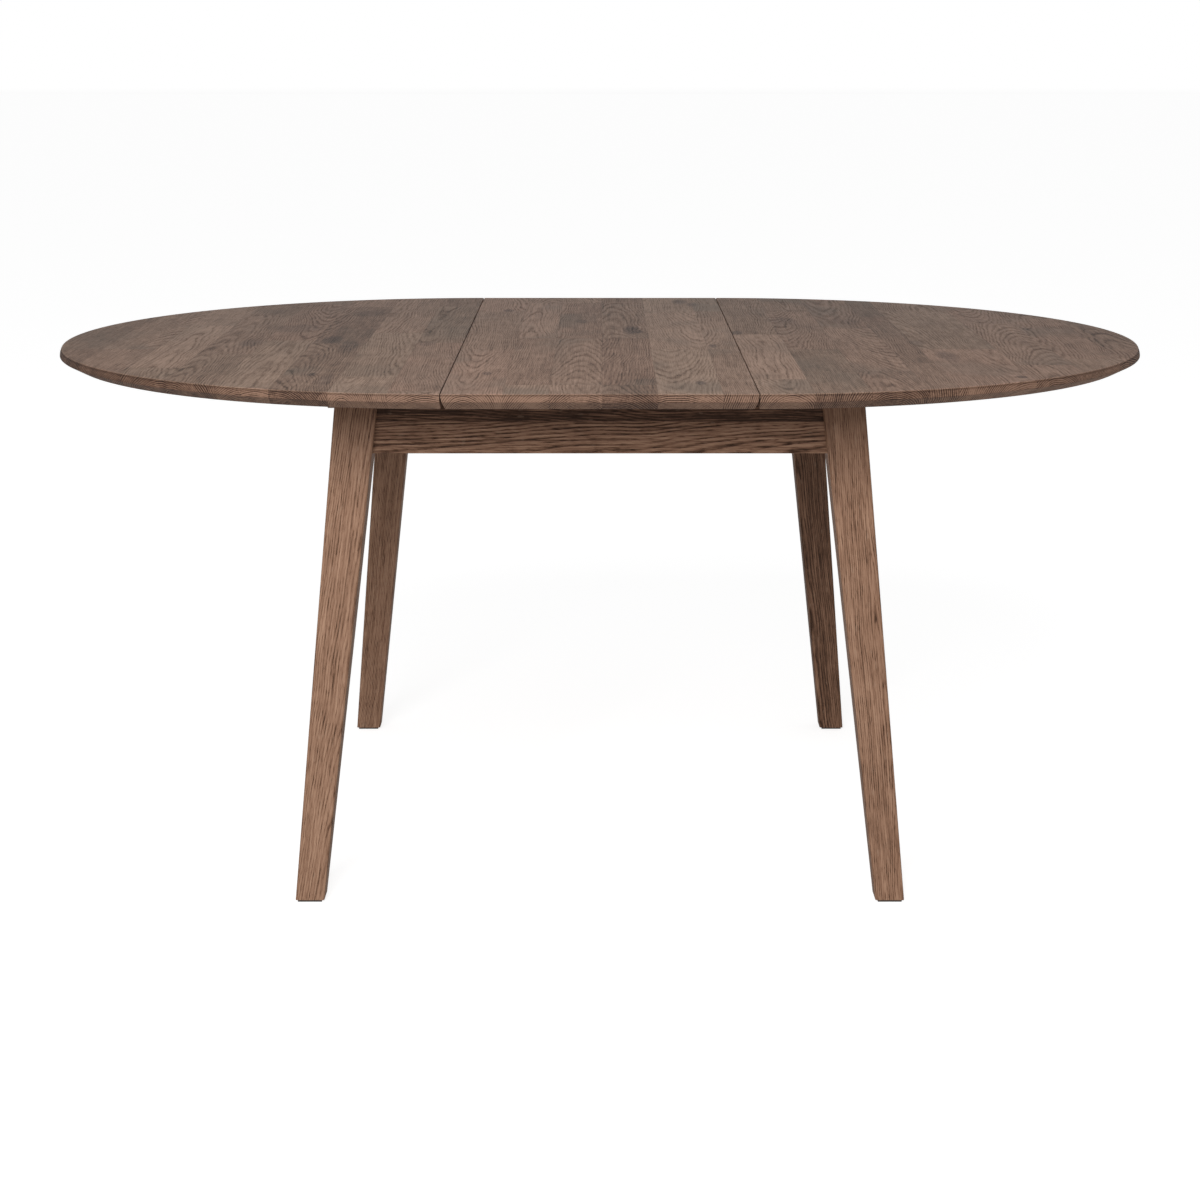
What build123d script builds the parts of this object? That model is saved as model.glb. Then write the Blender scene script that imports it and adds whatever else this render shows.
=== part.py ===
from build123d import *
import math
import os

# Extending dining table. A round top in two halves slides apart over a fixed frame of
# four splayed legs, and a loose centre leaf drops in between the halves.
# Millimetres. The origin is on the floor under the middle of the frame, +X is the
# direction that the table extends in, -Y is the front, and +Z is up. The table is
# modelled drawn out, with its leaf in place.

os.makedirs("parts", exist_ok=True)

# ---- Driving dimensions ---------------------------------------------------------------
HEIGHT = 750.0            # floor to table surface
TOP_RADIUS = 612.0        # radius of the round top when the halves are together
LEAF_PITCH = 415.0        # from the middle of one seam to the middle of the other
SEAM_GAP = 1.0            # open joint between the leaf and each half
TOP_THICKNESS = 23.0
LIFT_RATIO = 4.0          # how far the leaf rises for each millimetre a half slides
CLOSED_GAP = 0.6          # open joint between the halves when they are together

FOOT_X = 434.0            # outer faces of the legs at the floor
FOOT_Y = 464.0
FOOT_SIDE = 41.0
LEG_TOP_X = 366.0         # outer faces of the legs under the top
LEG_TOP_Y = 396.0
LEG_TOP_SIDE = 60.0

APRON_HEIGHT = 90.0
APRON_THICKNESS = 22.0
APRON_FACE_X = 360.0      # outer face of an end apron
APRON_FACE_Y = 390.0      # outer face of the front and back aprons
SLIDE_CLEARANCE = 2.0     # air between the frame and the tops that slide over it

GUIDE_Y = 286.0           # middle of each fixed guide rail
GEAR_MODULE = 2.5
GEAR_TEETH = 20

# ---- Worked-out dimensions ------------------------------------------------------------
TOP_UNDERSIDE = HEIGHT - TOP_THICKNESS
FRAME_TOP = TOP_UNDERSIDE - SLIDE_CLEARANCE
APRON_BOTTOM = FRAME_TOP - APRON_HEIGHT
APRON_INNER_X = APRON_FACE_X - APRON_THICKNESS
APRON_INNER_Y = APRON_FACE_Y - APRON_THICKNESS
SEAM_X = LEAF_PITCH / 2
HALF_EDGE = SEAM_X + SEAM_GAP / 2
LEAF_EDGE = SEAM_X - SEAM_GAP / 2
TRAVEL = HALF_EDGE - CLOSED_GAP / 2
SIDES = {"front": -1, "back": 1}
ENDS = {"left": -1, "right": 1}


def block(x_range, y_range, z_range):
    """A rectangular bar between two values on each axis."""
    size = [high - low for low, high in (x_range, y_range, z_range)]
    middle = [(low + high) / 2 for low, high in (x_range, y_range, z_range)]
    return Pos(*middle) * Box(*size)


def span(sign, near, far):
    """The interval from near to far, on the negative or the positive side of zero."""
    return (near, far) if sign > 0 else (-far, -near)


def rod(start, direction, radius, length):
    """A round bar that starts at a point and runs along a direction."""
    return extrude(Plane(origin=start, z_dir=direction) * Circle(radius), length)


def save(name, *solids):
    """Write one sub-part; several equal fasteners are one group of solids."""
    shape = solids[0] if len(solids) == 1 else Compound(children=list(solids))
    shape.label = name
    export_step(shape, f"parts/{name}.step")
    print(f"{name}: {len(shape.solids())} solid(s), {shape.volume:.0f} mm3")


# ---- Wood screws ----------------------------------------------------------------------
SCREW_SHANK = 2.2         # radius
SCREW_HEAD = 4.2          # radius
SCREW_HEAD_HEIGHT = 2.6
PILOT_CLEARANCE = 0.05    # the holes are this much larger in radius than the screws
BORE_DEPTH = 40.0         # longer than any counterbore needs
BORE_CLEARANCE = 0.4      # a counterbore is this much larger in radius than the head
SINK_CLEARANCE = 0.2      # the countersink is this much larger than the head's cone
TIP_CLEARANCE = 1.0       # a pilot hole runs this far past the screw's point
OVERLAP = 1.0             # shapes that are cut or joined run this far into each other


def screw_up(x, y, head_z, length):
    """A countersunk screw with its head down at head_z and its point up."""
    outline = Polyline(
        (0, 0),
        (SCREW_HEAD, 0),
        (SCREW_SHANK, SCREW_HEAD_HEIGHT),
        (SCREW_SHANK, length - 2 * SCREW_SHANK),
        (0, length),
        close=True,
    )
    face = make_face(Plane.XZ * outline)
    return Pos(x, y, head_z) * revolve(face, Axis.Z)


def screw_hole_up(x, y, head_z, length):
    """The pilot hole of the same screw, with a counterbore that opens downwards."""
    pilot = rod((x, y, head_z), (0, 0, 1), SCREW_SHANK + PILOT_CLEARANCE, length + TIP_CLEARANCE)
    sink_height = SCREW_HEAD_HEIGHT + SINK_CLEARANCE
    sink_radius = SCREW_HEAD + PILOT_CLEARANCE + SINK_CLEARANCE
    sink = Cone(sink_radius, SCREW_SHANK + PILOT_CLEARANCE, sink_height)
    sink = Pos(x, y, head_z + sink_height / 2 - SINK_CLEARANCE) * sink
    bore = rod((x, y, head_z - BORE_DEPTH), (0, 0, 1), SCREW_HEAD + BORE_CLEARANCE, BORE_DEPTH)
    return pilot + sink + bore


def cut_holes(solid, places):
    """Cut the pilot holes of all the screws at (x, y, head_z, length) out of a solid."""
    for place in places:
        solid -= screw_hole_up(*place)
    return solid


# ---- Table top: two half-round boards and the leaf --------------------------------------
RIM_LEAN = 3.0            # the edge leans in this far at the table surface
RIM_NOSE_DROP = 11.0      # the widest line of the edge lies this far below the surface
RIM_UNDERCUT = 23.0       # width of the under-bevel
ARRIS = 1.0               # small chamfer along the seams
MEETING_LAND = 2.5        # upright part of the leaf's meeting edges, above their back-bevel


def rim_profile(reach, inner):
    """Section of the board's edge in (distance out, height), from inner to reach."""
    top_corner = (reach - RIM_LEAN, HEIGHT)
    nose = (reach, HEIGHT - RIM_NOSE_DROP)
    bottom_corner = (reach - RIM_UNDERCUT, TOP_UNDERSIDE)
    lines = Polyline((inner, TOP_UNDERSIDE), (inner, HEIGHT), top_corner)
    face_curve = ThreePointArc(top_corner, (reach - RIM_LEAN / 4, HEIGHT - RIM_NOSE_DROP / 2), nose)
    under = Polyline(nose, bottom_corner, (inner, TOP_UNDERSIDE))
    return make_face(lines + face_curve + under)


def top_half(sign, screws):
    """A half-round board: its edge section turned half way about the seam's middle."""
    section = Plane.XZ * rim_profile(TOP_RADIUS, 0)
    disc = Pos(sign * SEAM_X, 0, 0) * revolve(section, Axis.Z)
    beyond = 2 * TOP_RADIUS
    keep = block(span(sign, HALF_EDGE, beyond), (-beyond, beyond), (0, 2 * HEIGHT))
    half = disc & keep
    for z in (HEIGHT, TOP_UNDERSIDE):
        arris = Rot(0, 45, 0) * Box(ARRIS * math.sqrt(2), 2 * beyond, ARRIS * math.sqrt(2))
        half -= Pos(sign * HALF_EDGE, 0, z) * arris
    return cut_holes(half, screws)


def leaf(screws):
    """The centre leaf: straight edge sections front and back, and sides that lean in."""
    section = Plane.YZ * rim_profile(TOP_RADIUS, 0)
    front_and_back = section + mirror(section, Plane.XZ)
    board = extrude(front_and_back, LEAF_EDGE, both=True)
    lean = (TOP_THICKNESS - MEETING_LAND) / LIFT_RATIO
    for sign in ENDS.values():
        wedge = Polyline(
            (sign * (LEAF_EDGE - ARRIS), HEIGHT),
            (sign * LEAF_EDGE, HEIGHT - ARRIS),
            (sign * LEAF_EDGE, HEIGHT - MEETING_LAND),
            (sign * (LEAF_EDGE - lean), TOP_UNDERSIDE),
            (sign * (LEAF_EDGE - lean), TOP_UNDERSIDE - OVERLAP),
            (sign * (LEAF_EDGE + OVERLAP), TOP_UNDERSIDE - OVERLAP),
            (sign * (LEAF_EDGE + OVERLAP), HEIGHT + OVERLAP),
            (sign * (LEAF_EDGE - ARRIS), HEIGHT + OVERLAP),
            close=True,
        )
        board -= extrude(Plane.XZ * make_face(wedge), 2 * TOP_RADIUS, both=True)
    return cut_holes(board, screws)


# ---- Leaf battens -----------------------------------------------------------------------
BATTEN_HALF_LENGTH = 185.0
BATTEN_WIDTH = 28.0
BATTEN_DEPTH = 20.0
BATTEN_PLACES = {"front": -349.0, "inner_front": -120.0, "inner_back": 120.0, "back": 349.0}
BATTEN_SCREW_X = (-150.0, 0.0, 150.0)
BATTEN_SCREW_SINK = 6.0
BATTEN_SCREW_LENGTH = 28.0

batten_screws = {
    place: [(x, y, TOP_UNDERSIDE - BATTEN_DEPTH + BATTEN_SCREW_SINK, BATTEN_SCREW_LENGTH)
            for x in BATTEN_SCREW_X]
    for place, y in BATTEN_PLACES.items()
}


def leaf_batten(place):
    """A bar across the leaf's boards that keeps them flat."""
    y = BATTEN_PLACES[place]
    bar = block(
        (-BATTEN_HALF_LENGTH, BATTEN_HALF_LENGTH),
        (y - BATTEN_WIDTH / 2, y + BATTEN_WIDTH / 2),
        (TOP_UNDERSIDE - BATTEN_DEPTH, TOP_UNDERSIDE),
    )
    return cut_holes(bar, batten_screws[place])


# ---- Legs -------------------------------------------------------------------------------
GLIDE_HEIGHT = 3.0        # plastic glides under the feet
LEG_EDGE_RADIUS = 2.5


def leg_section(x_sign, y_sign, z):
    """The square section of a leg at a height: it narrows and moves out towards the floor."""
    rise = z / TOP_UNDERSIDE
    side = FOOT_SIDE + (LEG_TOP_SIDE - FOOT_SIDE) * rise
    outer_x = FOOT_X + (LEG_TOP_X - FOOT_X) * rise
    outer_y = FOOT_Y + (LEG_TOP_Y - FOOT_Y) * rise
    middle = (x_sign * (outer_x - side / 2), y_sign * (outer_y - side / 2), z)
    return Plane(middle) * Rectangle(side, side)


def leg(x_sign, y_sign):
    """A straight tapered leg that splays out in both directions."""
    ends = [leg_section(x_sign, y_sign, z) for z in (GLIDE_HEIGHT, FRAME_TOP)]
    return loft(Sketch() + ends)


def eased_leg(x_sign, y_sign):
    """The leg with its four long edges rounded."""
    sharp = leg(x_sign, y_sign)
    long_edges = [edge for edge in sharp.edges() if edge.length > HEIGHT / 2]
    return fillet(long_edges, LEG_EDGE_RADIUS)


# ---- Aprons -----------------------------------------------------------------------------
LANE_WIDTH = 28.0         # width of a runner
LANE_CLEARANCE = 0.4      # side air between a runner and its guide rail
GUIDE_HALF_WIDTH = 14.0
RUNNER_BOTTOM = 690.0
RUNNER_TOP = TOP_UNDERSIDE - 3.0
NOTCH_MARGIN = 1.6
NOTCH_BOTTOM = RUNNER_BOTTOM - 2.0
NOTCH_HALF_WIDTH = GUIDE_HALF_WIDTH + LANE_CLEARANCE + LANE_WIDTH + NOTCH_MARGIN


def long_apron(y_sign, legs):
    """The front or back apron: one board that butts against the two legs beside it."""
    board = block(
        (-LEG_TOP_X + LEG_TOP_SIDE / 2, LEG_TOP_X - LEG_TOP_SIDE / 2),
        span(y_sign, APRON_INNER_Y, APRON_FACE_Y),
        (APRON_BOTTOM, FRAME_TOP),
    )
    for post in legs:
        board -= post
    return board


def end_apron(x_sign, legs):
    """An end apron, notched along its top where the runners pass."""
    board = block(
        span(x_sign, APRON_INNER_X, APRON_FACE_X),
        (-LEG_TOP_Y + LEG_TOP_SIDE / 2, LEG_TOP_Y - LEG_TOP_SIDE / 2),
        (APRON_BOTTOM, FRAME_TOP),
    )
    for post in legs:
        board -= post
    for y_sign in SIDES.values():
        near = GUIDE_Y - NOTCH_HALF_WIDTH
        far = GUIDE_Y + NOTCH_HALF_WIDTH
        board -= block((-2 * APRON_FACE_X, 2 * APRON_FACE_X), span(y_sign, near, far), (NOTCH_BOTTOM, HEIGHT))
    return board


# ---- Corner blocks, hanger bolts, washers and nuts ----------------------------------------
BLOCK_THICKNESS = 35.0    # measured along an apron
BLOCK_LEG_CLEARANCE = 2.0
BLOCK_BOTTOM = APRON_BOTTOM + 3.0
BLOCK_TOP = NOTCH_BOTTOM - 6.0
BOLT_RADIUS = 4.0
BOLT_LENGTH = 72.0
BOLT_TAIL = 14.0          # how far the bolt stands out of the block
WASHER_RADIUS = 11.0
WASHER_THICKNESS = 1.6
NUT_ACROSS = 13.0
NUT_THICKNESS = 6.5
BOLT_Z = (BLOCK_BOTTOM + BLOCK_TOP) / 2
BLOCK_OUTER = LEG_TOP_X + LEG_TOP_Y - 2 * LEG_TOP_SIDE - BLOCK_LEG_CLEARANCE  # x + y on the block's far face
BLOCK_INNER = BLOCK_OUTER - BLOCK_THICKNESS


def bolt_start(x_sign, y_sign):
    """The point on the block's inner face where its bolt comes out."""
    offset = (APRON_INNER_Y - APRON_INNER_X) / 2
    return x_sign * (BLOCK_INNER / 2 - offset), y_sign * (BLOCK_INNER / 2 + offset)


def corner_block(x_sign, y_sign):
    """A mitred bar across the inside corner of two aprons."""
    points = [
        (BLOCK_INNER - APRON_INNER_Y, APRON_INNER_Y),
        (BLOCK_OUTER - APRON_INNER_Y, APRON_INNER_Y),
        (APRON_INNER_X, BLOCK_OUTER - APRON_INNER_X),
        (APRON_INNER_X, BLOCK_INNER - APRON_INNER_X),
    ]
    outline = Polyline([(x_sign * x, y_sign * y) for x, y in points], close=True)
    bar = extrude(Pos(0, 0, BLOCK_BOTTOM) * make_face(outline), BLOCK_TOP - BLOCK_BOTTOM, dir=(0, 0, 1))
    return bar - hanger_bolt(x_sign, y_sign, PILOT_CLEARANCE)


def along_bolt(x_sign, y_sign, distance):
    """A point on the bolt's axis, a distance outwards from the block's inner face."""
    x, y = bolt_start(x_sign, y_sign)
    step = distance / math.sqrt(2)
    return (x + x_sign * step, y + y_sign * step, BOLT_Z)


def hanger_bolt(x_sign, y_sign, clearance=0.0):
    """A stud through the block into the inner corner of the leg."""
    start = along_bolt(x_sign, y_sign, -BOLT_TAIL)
    return rod(start, (x_sign, y_sign, 0), BOLT_RADIUS + clearance, BOLT_LENGTH)


def ring(start, direction, outline, hole_radius, thickness):
    """A flat outline with a round hole, extruded along a direction."""
    plane = Plane(origin=start, z_dir=direction)
    return extrude(plane * (outline - Circle(hole_radius)), thickness)


def washer(x_sign, y_sign):
    """The round washer between a nut and its block."""
    start = along_bolt(x_sign, y_sign, -WASHER_THICKNESS)
    outline = Circle(WASHER_RADIUS)
    return ring(start, (x_sign, y_sign, 0), outline, BOLT_RADIUS + PILOT_CLEARANCE, WASHER_THICKNESS)


def nut(x_sign, y_sign):
    """The hexagon nut that pulls the leg into its corner."""
    start = along_bolt(x_sign, y_sign, -WASHER_THICKNESS - NUT_THICKNESS)
    outline = RegularPolygon(NUT_ACROSS / 2, 6, major_radius=False)
    return ring(start, (x_sign, y_sign, 0), outline, BOLT_RADIUS + PILOT_CLEARANCE, NUT_THICKNESS)


# ---- Cross rails and guide rails ----------------------------------------------------------
CROSS_RAIL_X = {"left": -210.0, "centre": 0.0, "right": 210.0}
CROSS_RAIL_WIDTH = 40.0
CROSS_RAIL_BOTTOM = 650.0
CROSS_RAIL_TOP = 683.0
GUIDE_TOP = RUNNER_TOP - 2.0
TONGUE_REACH = 6.0
TONGUE_HEIGHT = 8.0
TONGUE_Z = 707.0          # middle height of the tongues and of the grooves
GUIDE_SCREW_SINK = 14.0
GUIDE_SCREW_LENGTH = 40.0

guide_screws = {
    (rail, side): (x, sign * GUIDE_Y, CROSS_RAIL_BOTTOM + GUIDE_SCREW_SINK, GUIDE_SCREW_LENGTH)
    for rail, x in CROSS_RAIL_X.items()
    for side, sign in SIDES.items()
}


def cross_rail(name):
    """A bar between the front and back aprons, under the guide rails."""
    x = CROSS_RAIL_X[name]
    bar = block(
        (x - CROSS_RAIL_WIDTH / 2, x + CROSS_RAIL_WIDTH / 2),
        (-APRON_INNER_Y, APRON_INNER_Y),
        (CROSS_RAIL_BOTTOM, CROSS_RAIL_TOP),
    )
    bar = cut_holes(bar, [guide_screws[name, side] for side in SIDES])
    if name == "centre":
        bar -= rod((0, 0, CROSS_RAIL_BOTTOM), (0, 0, 1), AXLE_RADIUS + PILOT_CLEARANCE, HEIGHT)
        bar -= rod((0, 0, 0), (0, 0, 1), AXLE_NUT_BORE, CROSS_RAIL_BOTTOM + AXLE_NUT_SINK)
    return bar


def guide_rail(side):
    """A fixed rail along X with a tongue on each side that the runners slide on."""
    y = SIDES[side] * GUIDE_Y
    length = (-APRON_INNER_X, APRON_INNER_X)
    rail = block(length, (y - GUIDE_HALF_WIDTH, y + GUIDE_HALF_WIDTH), (CROSS_RAIL_TOP, GUIDE_TOP))
    reach = GUIDE_HALF_WIDTH + TONGUE_REACH
    tongue_heights = (TONGUE_Z - TONGUE_HEIGHT / 2, TONGUE_Z + TONGUE_HEIGHT / 2)
    rail += block(length, (y - reach, y + reach), tongue_heights)
    return cut_holes(rail, [guide_screws[name, side] for name in CROSS_RAIL_X])


# ---- Runners -----------------------------------------------------------------------------
RUNNER_TAIL_X = 235.0     # the free end, past the middle of the table
RUNNER_STEP_X = 385.0     # outside the end apron the runner thins
RUNNER_END_X = 540.0      # the fixed end, under the half
RUNNER_THIN = 18.0        # its thickness there
RUNNER_PAD_X = 216.0      # from here outwards it stands against the half
GROOVE_CLEARANCE = 0.6
RUNNER_SCREW_X = (250.0, 325.0, 440.0, 520.0)
THICK_SCREW_SINK = 20.0
THIN_SCREW_SINK = 4.0


def runner_lane(end):
    """The left half's runners lie outside the guide rails, the right half's inside."""
    near = GUIDE_HALF_WIDTH + LANE_CLEARANCE
    if end == "left":
        return GUIDE_Y + near, GUIDE_Y + near + LANE_WIDTH
    return GUIDE_Y - near - LANE_WIDTH, GUIDE_Y - near


def runner_screws(end, side):
    """Places of the screws that hold a runner up against its half."""
    low, high = runner_lane(end)
    y = SIDES[side] * (low + high) / 2
    places = []
    for x in RUNNER_SCREW_X:
        thick = x < RUNNER_STEP_X
        head = RUNNER_BOTTOM + THICK_SCREW_SINK if thick else TOP_UNDERSIDE - RUNNER_THIN + THIN_SCREW_SINK
        tip = TOP_UNDERSIDE + TOP_THICKNESS / 2
        places.append((ENDS[end] * x, y, head, tip - head))
    return places


def runner(end, side):
    """A grooved bar fixed under one half, which reaches across to the other."""
    sign = ENDS[end]
    low, high = runner_lane(end)
    outline = Polyline(
        [
            (-sign * RUNNER_TAIL_X, RUNNER_BOTTOM),
            (sign * RUNNER_STEP_X, RUNNER_BOTTOM),
            (sign * RUNNER_STEP_X, TOP_UNDERSIDE - RUNNER_THIN),
            (sign * RUNNER_END_X, TOP_UNDERSIDE - RUNNER_THIN),
            (sign * RUNNER_END_X, TOP_UNDERSIDE),
            (sign * RUNNER_PAD_X, TOP_UNDERSIDE),
            (sign * RUNNER_PAD_X, RUNNER_TOP),
            (-sign * RUNNER_TAIL_X, RUNNER_TOP),
        ],
        close=True,
    )
    y_high = span(SIDES[side], low, high)[1]
    bar = extrude(Pos(0, y_high, 0) * (Plane.XZ * make_face(outline)), LANE_WIDTH, dir=(0, -1, 0))
    reach = GUIDE_HALF_WIDTH + TONGUE_REACH + GROOVE_CLEARANCE
    groove_half = TONGUE_HEIGHT / 2 + GROOVE_CLEARANCE
    groove_y = SIDES[side] * GUIDE_Y
    groove = block(
        (-2 * TOP_RADIUS, 2 * TOP_RADIUS),
        (groove_y - reach, groove_y + reach),
        (TONGUE_Z - groove_half, TONGUE_Z + groove_half),
    )
    return cut_holes(bar - groove, runner_screws(end, side))


# ---- Travel stops --------------------------------------------------------------------------
STOP_HALF_LENGTH = 14.0
STOP_HEIGHT = 6.0
STOP_WIDTH = 20.0
STOP_AIR = 0.5
PEG_LENGTH = 12.0
PEG_HEIGHT = 5.5


def lane_middle(end, side):
    """The Y of the middle of a runner."""
    low, high = runner_lane(end)
    return SIDES[side] * (low + high) / 2


def travel_stop(end, side):
    """A block on the centre rail that a runner's peg meets when the table is drawn out."""
    y = lane_middle(end, side)
    return block(
        (-STOP_HALF_LENGTH, STOP_HALF_LENGTH),
        (y - STOP_WIDTH / 2, y + STOP_WIDTH / 2),
        (CROSS_RAIL_TOP, CROSS_RAIL_TOP + STOP_HEIGHT),
    )


def stop_peg(end, side):
    """The peg under a runner, just past its stop."""
    y = lane_middle(end, side)
    near = STOP_HALF_LENGTH + STOP_AIR
    return block(
        span(-ENDS[end], near, near + PEG_LENGTH),
        (y - STOP_WIDTH / 2, y + STOP_WIDTH / 2),
        (RUNNER_BOTTOM - PEG_HEIGHT, RUNNER_BOTTOM),
    )


# ---- Cleats across the halves --------------------------------------------------------------
CLEAT_X = (280.0, 322.0)
CLEAT_HALF_LENGTH = 236.0
CLEAT_DEPTH = 15.0
CLEAT_SCREW_Y = (-190.0, -80.0, 80.0, 190.0)
CLEAT_SCREW_SINK = 4.0
CLEAT_SCREW_LENGTH = 22.0


def cleat_screws(end):
    """Places of the screws that hold a cleat up against its half."""
    x = ENDS[end] * sum(CLEAT_X) / 2
    head = TOP_UNDERSIDE - CLEAT_DEPTH + CLEAT_SCREW_SINK
    return [(x, y, head, CLEAT_SCREW_LENGTH) for y in CLEAT_SCREW_Y]


def cleat(end):
    """A bar across a half's boards, which also carries its rack."""
    bar = block(
        span(ENDS[end], *CLEAT_X),
        (-CLEAT_HALF_LENGTH, CLEAT_HALF_LENGTH),
        (TOP_UNDERSIDE - CLEAT_DEPTH, TOP_UNDERSIDE),
    )
    return cut_holes(bar, cleat_screws(end) + [rack_screw(end)])


# ---- Racks and pinion ------------------------------------------------------------------------
PRESSURE_ANGLE = math.radians(20)
PITCH_RADIUS = GEAR_MODULE * GEAR_TEETH / 2
TOOTH_PITCH = math.pi * GEAR_MODULE
ADDENDUM = GEAR_MODULE
DEDENDUM = 1.25 * GEAR_MODULE
BACKLASH = 0.35           # each tooth is thinner than half the pitch by this
GEAR_BOTTOM = 698.0
GEAR_TOP = 710.0
RACK_BACK = 41.0          # Y of the rack's plain edge
RACK_FIXED_END = 330.0
RACK_FREE_END = 27.0
RACK_SCREW_SINK = 3.0
RACK_SCREW_BITE = 8.0     # how far the rack's screw reaches into the top
AXLE_RADIUS = 5.0
AXLE_HEAD_RADIUS = 9.0
AXLE_HEAD_HEIGHT = 5.0
AXLE_NUT_BORE = 10.0
AXLE_NUT_SINK = 9.0
AXLE_NUT_ACROSS = 17.0    # across the nut's flats
AXLE_INSET = 1.0          # the axle ends this far inside the centre rail
AXLE_SLOT_WIDTH = 2.0
AXLE_SLOT_DEPTH = 2.0
AXLE_FIT = 0.05           # radial air between the axle and the pinion
WEAR_GAP = 0.35           # axial air above and below the pinion
SPACER_RADIUS = 12.0
FLANK_STEPS = 8


def rack_screw(end):
    """The screw up through a rack's fixed end and its cleat."""
    y = (PITCH_RADIUS + DEDENDUM + RACK_BACK) / 2
    x = ENDS[end] * sum(CLEAT_X) / 2
    head = GEAR_BOTTOM + RACK_SCREW_SINK
    return (x, -ENDS[end] * y, head, TOP_UNDERSIDE + RACK_SCREW_BITE - head)


def rack(end):
    """A toothed bar fixed to a half: the left one meshes behind the pinion."""
    sign = ENDS[end]
    half_thickness = TOOTH_PITCH / 4 - BACKLASH / 2
    flare = math.tan(PRESSURE_ANGLE)
    root_y = PITCH_RADIUS + DEDENDUM
    tip_y = PITCH_RADIUS - ADDENDUM
    bar = block((-RACK_FIXED_END, RACK_FREE_END), (root_y, RACK_BACK), (GEAR_BOTTOM, GEAR_TOP))
    last = math.floor(RACK_FREE_END / TOOTH_PITCH - 0.5)
    first = -math.ceil((TRAVEL + RACK_FREE_END) / TOOTH_PITCH)
    for index in range(first, last + 1):
        x = (index + 0.5) * TOOTH_PITCH
        tooth = Polyline(
            (x - half_thickness - DEDENDUM * flare, root_y + OVERLAP),
            (x - half_thickness - DEDENDUM * flare, root_y),
            (x - half_thickness + ADDENDUM * flare, tip_y),
            (x + half_thickness - ADDENDUM * flare, tip_y),
            (x + half_thickness + DEDENDUM * flare, root_y),
            (x + half_thickness + DEDENDUM * flare, root_y + OVERLAP),
            close=True,
        )
        bar += extrude(Pos(0, 0, GEAR_BOTTOM) * make_face(tooth), GEAR_TOP - GEAR_BOTTOM, dir=(0, 0, 1))
    bar += block((-CLEAT_X[1], -CLEAT_X[0]), (root_y, RACK_BACK), (GEAR_TOP, TOP_UNDERSIDE - CLEAT_DEPTH))
    if end == "right":
        bar = Rot(0, 0, 180) * bar
    return cut_holes(bar, [rack_screw(end)])


def involute(base_radius, roll):
    """The distance from the centre and the polar angle of an involute's point."""
    return base_radius * math.hypot(1, roll), roll - math.atan(roll)


def pinion():
    """A spur gear with involute teeth, one of which points along +Y at rest."""
    base_radius = PITCH_RADIUS * math.cos(PRESSURE_ANGLE)
    tip_radius = PITCH_RADIUS + ADDENDUM
    root_radius = PITCH_RADIUS - DEDENDUM
    pitch_angle = math.tan(PRESSURE_ANGLE) - PRESSURE_ANGLE
    half_angle = (TOOTH_PITCH / 2 - BACKLASH) / 2 / PITCH_RADIUS + pitch_angle
    last_roll = math.sqrt((tip_radius / base_radius) ** 2 - 1)
    flank = [(root_radius, 0.0)]
    flank += [involute(base_radius, last_roll * step / FLANK_STEPS) for step in range(FLANK_STEPS + 1)]
    points = []
    for tooth in range(GEAR_TEETH):
        middle = math.pi / 2 + tooth * 2 * math.pi / GEAR_TEETH
        rising = [(radius, middle - half_angle + angle) for radius, angle in flank]
        falling = [(radius, middle + half_angle - angle) for radius, angle in reversed(flank)]
        points += [(r * math.cos(a), r * math.sin(a)) for r, a in rising + falling]
    outline = make_face(Polyline(points, close=True))
    wheel = extrude(Pos(0, 0, GEAR_BOTTOM) * outline, GEAR_TOP - GEAR_BOTTOM, dir=(0, 0, 1))
    return wheel - rod((0, 0, 0), (0, 0, 1), AXLE_RADIUS + AXLE_FIT, HEIGHT)


def pinion_axle():
    """A shoulder bolt up through the centre rail; the pinion turns under its head."""
    shank_start = CROSS_RAIL_BOTTOM + AXLE_INSET
    head_start = GEAR_TOP + WEAR_GAP
    shank = rod((0, 0, shank_start), (0, 0, 1), AXLE_RADIUS, head_start - shank_start)
    head = rod((0, 0, head_start), (0, 0, 1), AXLE_HEAD_RADIUS, AXLE_HEAD_HEIGHT)
    slot_bottom = head_start + AXLE_HEAD_HEIGHT - AXLE_SLOT_DEPTH
    slot_sides = (-AXLE_SLOT_WIDTH / 2, AXLE_SLOT_WIDTH / 2)
    slot = block((-AXLE_HEAD_RADIUS, AXLE_HEAD_RADIUS), slot_sides, (slot_bottom, HEIGHT))
    return shank + head - slot


def pinion_spacer():
    """The bush that holds the pinion up at the height of the racks."""
    outline = Circle(SPACER_RADIUS)
    height = GEAR_BOTTOM - WEAR_GAP - CROSS_RAIL_TOP
    return ring((0, 0, CROSS_RAIL_TOP), (0, 0, 1), outline, AXLE_RADIUS + PILOT_CLEARANCE, height)


def axle_nut():
    """The nut that clamps the axle from below, in its counterbore."""
    start = (0, 0, CROSS_RAIL_BOTTOM + AXLE_NUT_SINK - NUT_THICKNESS)
    outline = RegularPolygon(AXLE_NUT_ACROSS / 2, 6, major_radius=False)
    return ring(start, (0, 0, 1), outline, AXLE_RADIUS + PILOT_CLEARANCE, NUT_THICKNESS)


# ---- Glides --------------------------------------------------------------------------------
PAD_LENGTH = 40.0
PAD_WIDTH = 14.0
PAD_AIR = 0.4
PAD_X = (-270.0, -90.0, 90.0, 270.0)
FOOT_GLIDE_INSET = 7.0


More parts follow.
